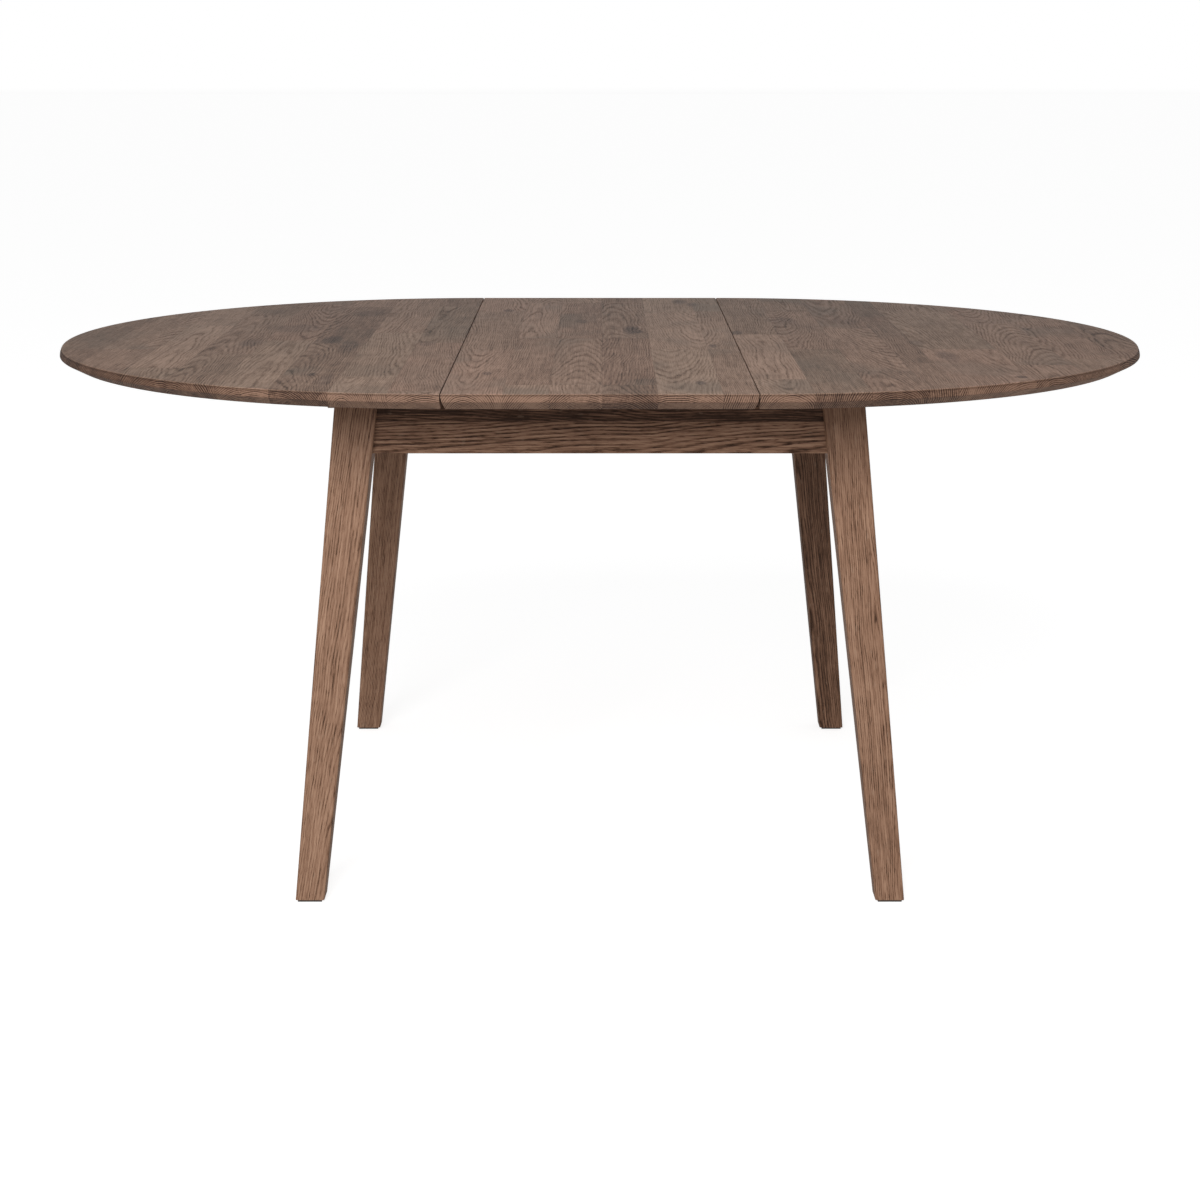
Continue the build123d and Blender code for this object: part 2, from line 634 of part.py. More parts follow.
def slide_pad(x, y_sign):
    """A low-friction strip on top of an apron, under the sliding halves."""
    y = y_sign * (APRON_INNER_Y + APRON_THICKNESS / 2)
    return block(
        (x - PAD_LENGTH / 2, x + PAD_LENGTH / 2),
        (y - PAD_WIDTH / 2, y + PAD_WIDTH / 2),
        (FRAME_TOP, TOP_UNDERSIDE - PAD_AIR),
    )


def foot_glide(x_sign, y_sign):
    """A square plastic glide under a foot."""
    middle_x = x_sign * (FOOT_X - FOOT_SIDE / 2)
    middle_y = y_sign * (FOOT_Y - FOOT_SIDE / 2)
    side = FOOT_SIDE - FOOT_GLIDE_INSET
    return Pos(middle_x, middle_y, GLIDE_HEIGHT / 2) * Box(side, side, GLIDE_HEIGHT)


# ---- Build and write every sub-part -----------------------------------------------------------
corners = {
    f"{side}_{end}": (x_sign, y_sign)
    for side, y_sign in SIDES.items()
    for end, x_sign in ENDS.items()
}
sharp_legs = {name: leg(*signs) for name, signs in corners.items()}
for name, signs in corners.items():
    save(f"leg_{name}", eased_leg(*signs) - hanger_bolt(*signs, PILOT_CLEARANCE))
    save(f"corner_block_{name}", corner_block(*signs))
save("hanger_bolts", *[hanger_bolt(*signs) for signs in corners.values()])
save("bolt_washers", *[washer(*signs) for signs in corners.values()])
save("bolt_nuts", *[nut(*signs) for signs in corners.values()])
save("foot_glides", *[foot_glide(*signs) for signs in corners.values()])

for side, y_sign in SIDES.items():
    beside = [sharp_legs[f"{side}_{end}"] for end in ENDS]
    save(f"apron_{side}", long_apron(y_sign, beside))
    save(f"guide_rail_{side}", guide_rail(side))
for end, x_sign in ENDS.items():
    beside = [sharp_legs[f"{side}_{end}"] for side in SIDES]
    save(f"apron_{end}", end_apron(x_sign, beside))
for name in CROSS_RAIL_X:
    save(f"cross_rail_{name}", cross_rail(name))
save("guide_rail_screws", *[screw_up(*place) for place in guide_screws.values()])
save("slide_pads", *[slide_pad(x, y_sign) for y_sign in SIDES.values() for x in PAD_X])
save("travel_stops", *[travel_stop(end, side) for end in ENDS for side in SIDES])

for end, x_sign in ENDS.items():
    fixings = [place for side in SIDES for place in runner_screws(end, side)]
    save(f"top_half_{end}", top_half(x_sign, fixings + cleat_screws(end) + [rack_screw(end)]))
    for side in SIDES:
        save(f"runner_{end}_{side}", runner(end, side))
    save(f"cleat_{end}", cleat(end))
    save(f"rack_{end}", rack(end))
    save(f"runner_screws_{end}", *[screw_up(*place) for place in fixings])
    save(f"cleat_screws_{end}", *[screw_up(*place) for place in cleat_screws(end)])
    save(f"rack_screw_{end}", screw_up(*rack_screw(end)))
    save(f"stop_pegs_{end}", *[stop_peg(end, side) for side in SIDES])

save("pinion", pinion())
save("pinion_axle", pinion_axle())
save("pinion_spacer", pinion_spacer())
save("axle_nut", axle_nut())

all_batten_screws = [place for places in batten_screws.values() for place in places]
save("centre_leaf", leaf(all_batten_screws))
for place in BATTEN_PLACES:
    save(f"leaf_batten_{place}", leaf_batten(place))
save("leaf_batten_screws", *[screw_up(*place) for place in all_batten_screws])

print(f"Travel of each half {TRAVEL:.2f} mm, pinion pitch radius {PITCH_RADIUS:.2f} mm")
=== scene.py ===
import math

import bmesh
import bpy
import numpy as np
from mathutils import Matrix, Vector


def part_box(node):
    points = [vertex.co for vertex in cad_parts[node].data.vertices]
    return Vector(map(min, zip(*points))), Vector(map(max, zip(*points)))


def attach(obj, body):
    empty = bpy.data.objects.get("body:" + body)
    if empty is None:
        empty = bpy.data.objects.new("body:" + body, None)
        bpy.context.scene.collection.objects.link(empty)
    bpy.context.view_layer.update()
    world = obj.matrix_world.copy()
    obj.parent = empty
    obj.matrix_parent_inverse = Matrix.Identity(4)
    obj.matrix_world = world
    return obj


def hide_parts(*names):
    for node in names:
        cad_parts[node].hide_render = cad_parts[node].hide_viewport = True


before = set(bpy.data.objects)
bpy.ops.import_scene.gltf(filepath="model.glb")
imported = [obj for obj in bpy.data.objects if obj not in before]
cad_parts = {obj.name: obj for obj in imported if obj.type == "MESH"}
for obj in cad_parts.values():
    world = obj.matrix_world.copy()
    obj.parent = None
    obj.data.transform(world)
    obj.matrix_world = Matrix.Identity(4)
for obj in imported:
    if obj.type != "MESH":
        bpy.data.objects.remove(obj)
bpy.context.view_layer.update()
scene = bpy.context.scene
scene.view_settings.view_transform = "Standard"


# ---- Floor, light and camera -------------------------------------------------------------
# A white studio floor, a white surround, and one large soft lamp above and in front of
# the table. The camera stands in front of the long side and looks slightly down.

EYE = (0.0002, -3.681, 1.187)
LOOK_DOWN = math.radians(13.03)
LENS = 71.63

camera_data = bpy.data.cameras.new("eye")
camera_data.lens = LENS
camera_data.sensor_width = 36.0
camera = bpy.data.objects.new("eye", camera_data)
camera.location = EYE
camera.rotation_euler = (math.radians(90) - LOOK_DOWN, 0, 0)
scene.collection.objects.link(camera)
scene.camera = camera

FLOOR_HALF_SIZE = 60.0
PAPER_GREY = 0.55
PAPER_GLOW = 0.80         # keeps the paper near white in the table's shadow

floor_mesh = bpy.data.meshes.new("floor")
SQUARE = np.array([(-1, -1), (1, -1), (1, 1), (-1, 1)])
floor_corners = np.column_stack([SQUARE * FLOOR_HALF_SIZE, np.zeros(4)])
floor_mesh.from_pydata(floor_corners, [], [(0, 1, 2, 3)])
floor = bpy.data.objects.new("floor", floor_mesh)
floor.visible_diffuse = False
floor.visible_glossy = False
scene.collection.objects.link(floor)

paper = bpy.data.materials.new("studio_paper")
paper.use_nodes = True
paper_shader = paper.node_tree.nodes["Principled BSDF"]
paper_shader.inputs["Base Color"].default_value = (PAPER_GREY, PAPER_GREY, PAPER_GREY, 1)
paper_shader.inputs["Roughness"].default_value = 0.9
paper_shader.inputs["Specular IOR Level"].default_value = 0.0
paper_shader.inputs["Emission Color"].default_value = (1, 1, 1, 1)
paper_shader.inputs["Emission Strength"].default_value = PAPER_GLOW
floor_mesh.materials.append(paper)

# The surround, from straight down (0) to straight up (1): grey below, white along the
# horizon and a darker grey above.
SURROUND = ((0.0, 0.42), (0.480, 0.42), (0.490, 1.0), (0.518, 1.0), (0.530, 0.32), (1.0, 0.32))

world = bpy.data.worlds.new("studio")
world.use_nodes = True
world_nodes = world.node_tree.nodes
world_links = world.node_tree.links
direction = world_nodes.new("ShaderNodeTexCoord")
apart = world_nodes.new("ShaderNodeSeparateXYZ")
level = world_nodes.new("ShaderNodeMapRange")
level.inputs["From Min"].default_value = -1.0
bands = world_nodes.new("ShaderNodeValToRGB")
for place, grey in SURROUND[1:-1]:
    bands.color_ramp.elements.new(place)
for stop, (place, grey) in zip(bands.color_ramp.elements, SURROUND):
    stop.position = place
    stop.color = (grey, grey, grey, 1)
world_links.new(direction.outputs["Generated"], apart.inputs[0])
world_links.new(apart.outputs["Z"], level.inputs["Value"])
world_links.new(level.outputs[0], bands.inputs[0])
world_links.new(bands.outputs[0], world_nodes["Background"].inputs["Color"])
scene.world = world


def soft_box(name, place, aim, size, power):
    """A square soft lamp at place, turned to face aim."""
    lamp_data = bpy.data.lights.new(name, "AREA")
    lamp_data.size = size
    lamp_data.energy = power
    lamp = bpy.data.objects.new(name, lamp_data)
    toward = np.subtract(aim, place)
    lamp.location = place
    yaw = math.atan2(toward[1], toward[0]) - math.pi / 2
    tilt = math.acos(-toward[2] / np.linalg.norm(toward))
    lamp.rotation_euler = (tilt, 0, yaw)
    scene.collection.objects.link(lamp)


LAMP_PLACE = (-0.8, -4.6, 2.9)
LAMP_AIM = (0, -0.4, 0.6)
LAMP_SIZE = 2.6
LAMP_POWER = 185

soft_box("front_lamp", LAMP_PLACE, LAMP_AIM, LAMP_SIZE, LAMP_POWER)


# ---- Legs ---------------------------------------------------------------------------------
# Four solid oak legs, sawn square and tapered on all sides, splayed both ways and planed,
# with the long edges eased by hand. Each is pulled into its corner by a hanger bolt.

SECTION_STEPS = 4         # straight steps in each rounded corner


def eased(corners, radii, closed=True):
    """Outlines (..., corners, 2) with each corner rounded: a parabola that leaves and
    rejoins the two sides at the corner's radius, (1-t)^2 a + 2t(1-t) corner + t^2 b."""
    corners = np.asarray(corners, float)
    radii = np.broadcast_to(radii, corners.shape[-2])[:, None]
    back = np.roll(corners, 1, axis=-2) - corners
    ahead = np.roll(corners, -1, axis=-2) - corners
    start = (corners + radii * back / np.linalg.norm(back, axis=-1, keepdims=True))[..., None, :]
    end = (corners + radii * ahead / np.linalg.norm(ahead, axis=-1, keepdims=True))[..., None, :]
    t = np.linspace(0, 1, SECTION_STEPS + 1)[:, None]
    curve = (1 - t) ** 2 * start + 2 * t * (1 - t) * corners[..., None, :] + t ** 2 * end
    if closed:
        return curve.reshape(*corners.shape[:-2], -1, 2)
    return np.concatenate([corners[:1], curve[1:-1].reshape(-1, 2), corners[-1:]])


def skin(loops):
    """Quads between neighbouring closed loops of an array (loops, points, 3), with one
    face over the first loop and one over the last."""
    rows, columns = loops.shape[:2]
    index = np.arange(rows * columns).reshape(rows, columns)
    low = index[:-1]
    high = index[1:]
    quads = np.stack([low, np.roll(low, -1, axis=1), np.roll(high, -1, axis=1), high], axis=-1)
    faces = quads.reshape(-1, 4).tolist() + [index[0].tolist(), index[-1].tolist()]
    return loops.reshape(-1, 3), faces


MERGE_DISTANCE = 1e-6
SHARP_ANGLE = math.radians(32)


def finished_piece(name, points, faces, body, node, cuts=()):
    """A closed mesh from points and faces, cut by planes (point, outward normal), with
    outward faces and hard edges kept; it rides on a body and replaces a node."""
    mesh = bpy.data.meshes.new(name)
    mesh.from_pydata(points, [], faces)
    work = bmesh.new()
    work.from_mesh(mesh)
    bmesh.ops.remove_doubles(work, verts=work.verts, dist=MERGE_DISTANCE)
    bmesh.ops.dissolve_degenerate(work, edges=work.edges, dist=MERGE_DISTANCE)
    for place, normal in cuts:
        everything = work.verts[:] + work.edges[:] + work.faces[:]
        plane = {"plane_co": place, "plane_no": normal, "clear_outer": True}
        cut = bmesh.ops.bisect_plane(work, geom=everything, dist=MERGE_DISTANCE / 10, **plane)
        rim = [part for part in cut["geom_cut"] if isinstance(part, bmesh.types.BMEdge)]
        bmesh.ops.contextual_create(work, geom=rim)
    bmesh.ops.recalc_face_normals(work, faces=work.faces)
    work.to_mesh(mesh)
    work.free()
    mesh.polygons.foreach_set("use_smooth", np.ones(len(mesh.polygons), bool))
    mesh.set_sharp_from_angle(angle=SHARP_ANGLE)
    piece = bpy.data.objects.new(name, mesh)
    scene.collection.objects.link(piece)
    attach(piece, body)
    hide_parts(node)
    return piece


def mark_grain(piece, matrix, offset, seed, tone=0.0):
    """Store the wood's own coordinates on every point: across the board, along the grain
    and through it, as matrix @ place + offset, and the board's seed and lightness."""
    mesh = piece.data
    places = np.empty(len(mesh.vertices) * 3, np.float32)
    mesh.vertices.foreach_get("co", places)
    grain = places.reshape(-1, 3) @ np.asarray(matrix, float).T + np.asarray(offset, float)
    attribute = mesh.attributes.new("grain", "FLOAT_VECTOR", "POINT")
    attribute.data.foreach_set("vector", grain.astype(np.float32).ravel())
    for name, value in (("seed", seed), ("tone", tone)):
        numbers = mesh.attributes.new(name, "FLOAT", "POINT")
        numbers.data.foreach_set("value", np.full(len(mesh.vertices), value, np.float32))


class Wire:
    """One output of a shader node. Arithmetic between wires and numbers adds Math nodes."""

    def __init__(self, finish, socket):
        self.finish = finish
        self.socket = socket

    def math(self, operation, *values):
        return self.finish.node("ShaderNodeMath", {"operation": operation}, dict(enumerate(values)))

    def __add__(self, other):
        return self.math("ADD", self, other)

    def __sub__(self, other):
        return self.math("SUBTRACT", self, other)

    def __rsub__(self, other):
        return self.math("SUBTRACT", other, self)

    def __mul__(self, other):
        return self.math("MULTIPLY", self, other)

    def __truediv__(self, other):
        return self.math("DIVIDE", self, other)

    def __rtruediv__(self, other):
        return self.math("DIVIDE", other, self)

    def __gt__(self, other):
        return self.math("GREATER_THAN", self, other)

    __radd__ = __add__
    __rmul__ = __mul__

    def apply(self, operation, *others):
        return self.math(operation, self, *others)


class Finish:
    """A material under construction: node() adds any node, paint() ends it."""

    def __init__(self, name):
        self.material = bpy.data.materials.new(name)
        self.material.use_nodes = True
        self.tree = self.material.node_tree
        self.shader = self.tree.nodes["Principled BSDF"]

    def node(self, kind, settings=None, inputs=None, output=0):
        made = self.tree.nodes.new(kind)
        for key, value in (settings or {}).items():
            if key == "stops":
                self.set_stops(made.color_ramp, value)
            else:
                setattr(made, key, value)
        for key, value in (inputs or {}).items():
            self.feed(made.inputs[key], value)
        return Wire(self, made.outputs[output])

    def set_stops(self, ramp, stops):
        while len(ramp.elements) < len(stops):
            ramp.elements.new(1.0)
        for element, (place, shade) in zip(ramp.elements, stops):
            element.position = place
            element.color = (*shade, 1)

    def feed(self, socket, value):
        if isinstance(value, Wire):
            self.tree.links.new(value.socket, socket)
        elif isinstance(value, tuple) and len(value) == 3 and len(socket.default_value) == 4:
            socket.default_value = (*value, 1)
        else:
            socket.default_value = value

    def split(self, vector):
        """The three numbers of a vector."""
        apart = self.node("ShaderNodeSeparateXYZ", inputs={0: vector})
        return [Wire(self, socket) for socket in apart.socket.node.outputs]

    def join(self, x, y, z):
        return self.node("ShaderNodeCombineXYZ", inputs={0: x, 1: y, 2: z})

    def mix(self, factor, first, second, blend="MIX"):
        """Colours mixed by a factor."""
        settings = {"data_type": "RGBA", "blend_type": blend}
        return self.node("ShaderNodeMix", settings, {0: factor, 6: first, 7: second}, output=2)

    def noise(self, vector, scale, detail=2.0, roughness=0.5):
        values = {"Vector": vector, "Scale": scale, "Detail": detail, "Roughness": roughness}
        return self.node("ShaderNodeTexNoise", {"noise_dimensions": "3D"}, values)

    def streaks(self, grain, rates, detail, roughness=0.5, side_shift=0.0, end_shift=0.0):
        """Noise drawn out along the grain (across, along, depth). rates are its cycles a
        metre across and along, and the shifts set one board apart from another."""
        across, along, depth = grain
        across = across * rates[0] + side_shift
        along = along * rates[1] + end_shift
        return self.noise(self.join(across, along, depth * rates[0]), 1.0, detail, roughness)

    def chance(self, value):
        """Three numbers from 0 to 1 that depend on the value at random."""
        colour = self.node("ShaderNodeTexWhiteNoise", {"noise_dimensions": "1D"}, {"W": value}, output=1)
        return self.split(colour)

    def ramp(self, value, *stops):
        return self.node("ShaderNodeValToRGB", {"stops": stops}, {0: value})

    def step(self, value, low, high):
        """0 below low, 1 above high and an S-curve between them."""
        settings = {"interpolation_type": "SMOOTHSTEP"}
        return self.node("ShaderNodeMapRange", settings, {0: value, 1: low, 2: high, 3: 0.0, 4: 1.0})

    def attribute(self, name, output):
        return self.node("ShaderNodeAttribute", {"attribute_name": name}, output=output)

    def paint(self, colour, roughness, height, relief, **constants):
        """Link the finish's colour, roughness and surface relief to its shader."""
        self.feed(self.shader.inputs["Base Color"], colour)
        self.feed(self.shader.inputs["Roughness"], roughness)
        for key, value in constants.items():
            self.shader.inputs[key.replace("_", " ")].default_value = value
        values = {"Strength": 1.0, "Distance": relief, "Height": height}
        self.feed(self.shader.inputs["Normal"], self.node("ShaderNodeBump", inputs=values))
        return self.material


# How far a board's pith can lie beside it and behind it, how much its ring radius can
# change for each metre along it, and how far its rings wander and ripple.
PITH_SPREAD = 0.14
PITH_NEAREST = 0.012
PITH_DEPTHS = 0.08
SLOPE_SPREAD = 0.13
WANDER = 0.040
RIPPLE = 0.0030

# Cycles a metre across and along the grain.
WANDER_RATES = (7.0, 3.0)
RIPPLE_RATES = (55.0, 12.0)
BREAK_RATES = (45.0, 30.0)
FIBRE_RATES = (560.0, 17.0)
STREAK_RATES = (260.0, 5.0)
PORE_RATES = (900.0, 75.0)
FLECK_RATES = (230.0, 60.0)


def oak(finish, grain, seed, ring_width, rings, fibres, bulge=0.0):
    """Solid oak, from its grain coordinates (across, along, depth). The year rings are
    cylinders about a pith line beside the board, whose radius also grows slowly along it:
    r = |(across, depth) - pith| + slope * along + noise. Each ring starts with a thin dark
    band of open pores, and is broken here and there. rings and fibres say how strongly
    each shows. Returns shade (0 dark to 1 light), ring, pore and fleck (each 0 to 1)."""
    across, along, depth = grain
    first, second, third = finish.chance(seed)
    pith_across = (first - 0.5) * PITH_SPREAD
    pith_depth = -PITH_NEAREST - second * PITH_DEPTHS
    slope = (third - 0.5) * SLOPE_SPREAD
    wander = (finish.streaks(grain, WANDER_RATES, 2.0, side_shift=seed * 3.7) - 0.5) * WANDER
    ripple = (finish.streaks(grain, RIPPLE_RATES, 2.0, end_shift=seed) - 0.5) * RIPPLE
    side = across - pith_across + wander
    deep = depth - pith_depth
    radius = (side * side + deep * deep).apply("SQRT") + slope * along + ripple + bulge
    year = radius / ring_width
    phase = year.apply("FRACT")
    season = finish.chance(year.apply("FLOOR"))[0]
    open_band = 1.0 - finish.step(phase, 0.10, 0.50)
    turn = finish.step(phase, 0.80, 1.0)
    band = (open_band + turn).apply("MINIMUM", 1.0)
    broken = finish.step(finish.streaks(grain, BREAK_RATES, 2.0, end_shift=seed), 0.30, 0.62)
    ring = band * (0.30 + season * 0.70) * (0.35 + broken * 0.65)
    fibre = finish.streaks(grain, FIBRE_RATES, 4.0, 0.65) - 0.5
    streak = finish.streaks(grain, STREAK_RATES, 4.0, 0.6, side_shift=seed * 5.1) - 0.5
    pore = finish.step(finish.streaks(grain, PORE_RATES, 2.0), 0.52, 0.66) * (0.35 + ring * 0.65)
    fleck = finish.step(finish.streaks(grain, FLECK_RATES, 1.0, end_shift=seed), 0.66, 0.74)
    shade = (0.30 - ring) * rings + (fibre + streak * 0.7 - pore * 0.35 + 0.06) * fibres + 0.5
    return shade, ring, pore, fleck


def marked_grain(finish):
    """The grain coordinates and the seed that mark_grain stored on a piece."""
    return finish.split(finish.attribute("grain", 1)), finish.attribute("seed", 2)


OAK_RELIEF = 0.0003
UPPER_BOARD_SEED = 5.0


def frame_oak(name, find_grain, ring_width, rings, fibres, shift, upper_board_tone_and_shade=0.0):
    """Smoked oak with a matt oil: warm brown, dark in the pores, a little paler where the
    medullary rays cross a quartersawn face. shift makes all of it lighter, and the last
    argument the upper of two boards that are glued at across = 0; on the aprons that upper
    board is drawn darker, partly for its own tone and partly as painted shade under the top."""
    finish = Finish(name)
    grain, seed = find_grain(finish)
    upper = (grain[0] > 0.0) if upper_board_tone_and_shade else 0.0
    board = seed + upper * UPPER_BOARD_SEED
    shade, ring, pore, fleck = oak(finish, grain, board, ring_width, rings, fibres)
    lot = finish.chance(seed + 11.3)[0]
    # On the aprons the upper board is drawn darker: partly its own tone, partly painted shade under the
    # overhanging top.
    shade = shade + (lot - 0.5) * 0.12 + upper * upper_board_tone_and_shade + shift + finish.attribute("tone", 2)
    colour = finish.ramp(
        shade,
        (0.0, (0.046, 0.020, 0.010)),
        (0.30, (0.160, 0.080, 0.046)),
        (0.55, (0.285, 0.156, 0.096)),
        (1.0, (0.470, 0.285, 0.190)),
    )
    colour = finish.mix(fleck * 0.22, colour, (0.40, 0.27, 0.19))
    roughness = 0.52 + pore * 0.2 + ring * 0.08
    height = shade * 0.5 - pore * 0.9
    return finish.paint(colour, roughness, height, OAK_RELIEF, Specular_IOR_Level=0.22)


FOOT_REACH = (0.434, 0.464)   # X and Y of a leg's outer faces at the floor
TOP_REACH = (0.366, 0.396)    # and at full height
FOOT_SIDE = 0.041
HEAD_SIDE = 0.060
FULL_HEIGHT = 0.727           # the underside of the top
LEG_EASE = 0.0032
END_EASE = 0.0015
LEG_STATIONS = 24
LEG_RING = 0.0030             # a year of growth

oak_leg = frame_oak("oak_leg", marked_grain, LEG_RING, rings=0.48, fibres=1.10, shift=-0.05)


def leg_middle(x_sign, y_sign, rise):
    """The middle and the side of a leg's square section, rise from 0 at the floor to 1."""
    side = FOOT_SIDE + (HEAD_SIDE - FOOT_SIDE) * rise
    reach = np.outer(1 - rise, FOOT_REACH) + np.outer(rise, TOP_REACH)
    middle = (reach - side[:, None] / 2) * (x_sign, y_sign)
    return middle, side


def leg_loops(x_sign, y_sign, low, high):
    """Rounded squares at stations up the leg: middle(z) + side(z) * unit square, drawn in
    by a small ease at the two ends."""
    inner = np.linspace(low, high, LEG_STATIONS)
    heights = np.concatenate([[low, low + END_EASE / 3], inner[1:-1], [high - END_EASE / 3, high]])
    draw_in = np.zeros(len(heights))
    draw_in[[0, -1]] = END_EASE
    middle, side = leg_middle(x_sign, y_sign, heights / FULL_HEIGHT)
    half = (side / 2 - draw_in)[:, None, None]
    outlines = eased(middle[:, None] + half * SQUARE, LEG_EASE)
    levels = np.broadcast_to(heights[:, None, None], (*outlines.shape[:2], 1))
    return np.concatenate([outlines, levels], axis=-1)


# The seed of each leg's wood, and how much lighter or darker each leg is drawn.
LEG_WOOD = {
    "front_left": (3.0, -0.03),
    "front_right": (8.0, 0.04),
    "back_left": (12.0, 0.0),
    "back_right": (21.0, -0.20),
}
for place, (seed, tone) in LEG_WOOD.items():
    x_sign = -1 if place.endswith("left") else 1
    y_sign = -1 if place.startswith("front") else 1
    node = f"leg_{place}"
    low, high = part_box(node)
    points, faces = skin(leg_loops(x_sign, y_sign, low.z, high.z))
    leg = finished_piece(f"{node}_planed", points, faces, "frame", node)
    rate = (np.array(TOP_REACH) - FOOT_REACH - (HEAD_SIDE - FOOT_SIDE) / 2) / FULL_HEIGHT
    start = np.array(FOOT_REACH) - FOOT_SIDE / 2
    matrix = [(1, 0, -x_sign * rate[0]), (0, 0, 1), (0, 1, -y_sign * rate[1])]
    offset = (-x_sign * start[0], 0, -y_sign * start[1])
    mark_grain(leg, matrix, offset, seed, tone)
    leg.data.materials.append(oak_leg)


# Each leg stands on a thin hard nylon glide, nailed into its end.

def dress(material, *nodes):
    """Give the named pieces one finish."""
    for node in nodes:
        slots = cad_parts[node].data.materials
        slots.clear()
        slots.append(material)


def moulded(name, colour, roughness, speckle):
    """Moulded plastic: even, with a fine spark-eroded grain and faint flow marks."""
    finish = Finish(name)
    place = finish.node("ShaderNodeTexCoord", output=3)
    grain = finish.noise(place, 2600.0, 2.0)
    flow = finish.noise(place, 70.0, 3.0, 0.6)
    dark = tuple(value * (1 - speckle) for value in colour)
    light = tuple(min(1.0, value * (1 + speckle)) for value in colour)
    body = finish.mix(flow * 0.7 + grain * 0.3, dark, light)
    return finish.paint(body, roughness + (flow - 0.5) * 0.2, grain, 0.00006)


dress(moulded("glide_nylon", (0.060, 0.052, 0.045), 0.50, 0.25), "foot_glides")


# ---- Aprons --------------------------------------------------------------------------------
# Four oak boards glued up from two widths, butted between the legs and set back from
# their faces. The end aprons are notched for the runners.

APRON_EASE = 0.0018
APRON_STATIONS = 21
INNER_FOOT = FOOT_REACH[0] - FOOT_SIDE
INNER_TOP = TOP_REACH[0] - HEAD_SIDE
APRON_JOINT = 0.680       # height of the glue line
APRON_RING = 0.0038
FRONT_SEED = 33.0
BACK_SEED = 46.0
LEFT_SEED = 52.0
RIGHT_SEED = 59.0

# The upper board is drawn 0.36 darker: partly its own tone, partly painted shade cast by the overhanging
# top.
oak_apron = frame_oak(
    "oak_apron", marked_grain, APRON_RING, rings=0.58, fibres=1.50, shift=-0.17, upper_board_tone_and_shade=-0.36
)


def long_apron(side, y_sign, seed):
    """The rounded section of the board at stations along X; each end lies against the
    sloping side of a leg, x = t * inner(z) for t from -1 to 1."""
    node = f"apron_{side}"
    low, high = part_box(node)
    corners = [(low.y, low.z), (high.y, low.z), (high.y, high.z), (low.y, high.z)]
    outline = eased(corners, APRON_EASE)
    reach = INNER_FOOT + (INNER_TOP - INNER_FOOT) * outline[:, 1] / FULL_HEIGHT
    stations = np.linspace(-1, 1, APRON_STATIONS)
    rows = np.array([np.column_stack([t * reach, outline]) for t in stations])
    points, faces = skin(rows)
    apron = finished_piece(f"{node}_planed", points, faces, "frame", node)
    matrix = [(0, 0, 1), (1, 0, 0), (0, -y_sign, 0)]
    mark_grain(apron, matrix, (-APRON_JOINT, 0, y_sign * high.y), seed)
    apron.data.materials.append(oak_apron)


long_apron("front", -1, FRONT_SEED)
long_apron("back", 1, BACK_SEED)


def end_apron_grain(finish):
    """Across, along and through the end aprons, which run front to back."""
    x, y, z = finish.split(finish.node("ShaderNodeTexCoord", output=3))
    return (z - APRON_JOINT, y, x), (x > 0.0) * (RIGHT_SEED - LEFT_SEED) + LEFT_SEED


# The end aprons' upper board is drawn 0.18 darker: partly its own tone, partly painted shade under the
# top.
oak_end = frame_oak(
    "oak_end_apron", end_apron_grain, APRON_RING, rings=0.58, fibres=1.50, shift=-0.13, upper_board_tone_and_shade=-0.18
)
dress(oak_end, "apron_left", "apron_right")


# ---- Corner blocks and leg bolts ------------------------------------------------------------
# Beech blocks glued and screwed across the inside of each corner. A zinc-plated hanger
# bolt runs from the leg through the block to a washer and a nut.

RAY_RATES = (1300.0, 380.0)     # cycles a metre across and along the grain
BROAD_RATES = (55.0, 2.2)
FINE_RATES = (700.0, 14.0)
LOT_RATES = (2.0, 0.5)


def beech(name, turn, tint=1.0):
    """Steamed beech, planed and left plain: pink-brown, close and even, with small dark
    lens-shaped rays along the grain. turn puts (x, y, z) as (across, along, depth)."""
    finish = Finish(name)
    grain = turn(*finish.split(finish.node("ShaderNodeTexCoord", output=3)))
    ray = finish.step(finish.streaks(grain, RAY_RATES, 1.0), 0.60, 0.70)
    broad = finish.streaks(grain, BROAD_RATES, 3.0)
    fine = finish.streaks(grain, FINE_RATES, 3.0)
    lot = finish.streaks(grain, LOT_RATES, 0.0)
    shade = 0.5 + (broad - 0.5) * 0.9 + (fine - 0.5) * 0.6 + (lot - 0.5) * 0.8 - ray * 0.22
    colour = finish.ramp(
        shade,
        (0.0, tuple(value * tint for value in (0.250, 0.140, 0.080))),
        (0.5, tuple(value * tint for value in (0.420, 0.265, 0.165))),
        (1.0, tuple(value * tint for value in (0.560, 0.390, 0.265))),
    )
    return finish.paint(colour, 0.58 - ray * 0.06, fine * 0.6 - ray * 0.4, 0.00020)


def zinc(name, tone):
    """Bright zinc plate, slightly clouded, with fine turning marks left in the steel."""
    finish = Finish(name)
    place = finish.node("ShaderNodeTexCoord", output=3)
    cloud = finish.noise(place, 160.0, 3.0, 0.6)
    mark = finish.noise(place, 3800.0, 1.0)
    dark = tuple(tone * value for value in (0.50, 0.50, 0.49))
    light = tuple(tone * value for value in (1.0, 1.0, 0.97))
    colour = finish.mix(cloud, dark, light)
    return finish.paint(colour, 0.26 + cloud * 0.22, mark, 0.00003, Metallic=1.0)


beech_blocks = beech("beech_blocks", lambda x, y, z: (z, x - y, x + y))
dress(beech_blocks, *(f"corner_block_{place}" for place in LEG_WOOD))
zinc_plate = zinc("zinc_plate", 0.74)
dress(zinc_plate, "hanger_bolts", "bolt_washers", "bolt_nuts")


# ---- Guide rails, cross rails and slide pads ---------------------------------------------------
# Two beech guide rails with a tongue along each side carry the runners, and three cross
# rails tie them to the front and back aprons. White pads take the wear.

